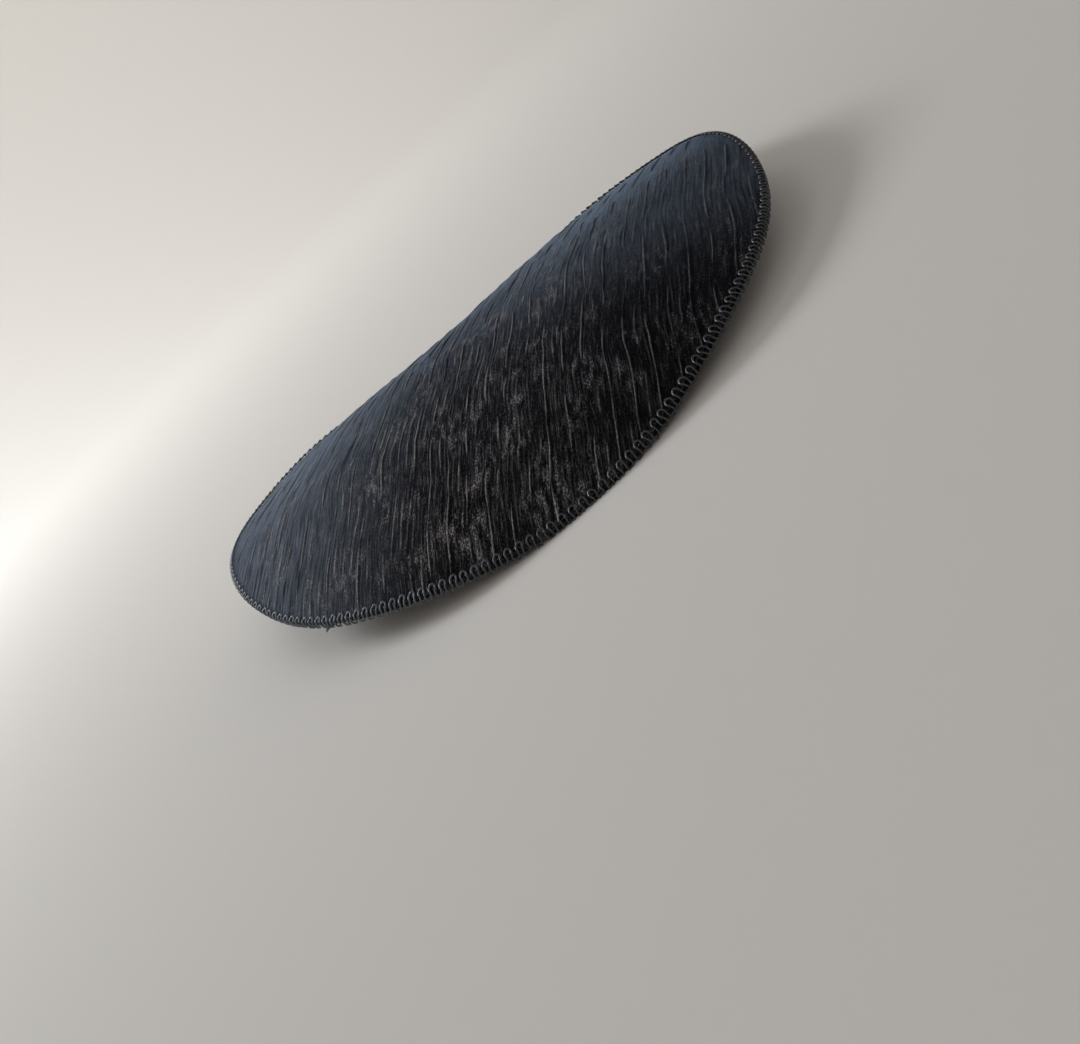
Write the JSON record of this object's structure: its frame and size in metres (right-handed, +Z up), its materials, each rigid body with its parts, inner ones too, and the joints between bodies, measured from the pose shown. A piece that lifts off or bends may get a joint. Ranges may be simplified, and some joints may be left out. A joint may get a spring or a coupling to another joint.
{
  "type": "fascinator hat",
  "caption": "Wide velvet-covered saucer fascinator bent into a low arch, with a scroll braid round the edge and a hair comb under the disc.",
  "frame": {"origin": "on the table under the middle of the hat as it rests on its rim", "axes": "+X along the straight crest of the arch, towards the wearer's left, the wearer facing -Y; +Y from the front edge to the back edge; +Z up"},
  "size_m": [0.4536, 0.4435, 0.0573],
  "materials": {
    "velvet": "black crushed velvet, matt pile with a blue-grey sheen and fine parallel creases",
    "braid": "black gimp braid of glossy rayon cord",
    "comb": "black moulded plastic, semi-gloss"
  },
  "bodies": {
    "root": {"brim_disc": "velvet", "edge_braid": "braid", "hair_comb": "comb"}
  },
  "joints": []
}
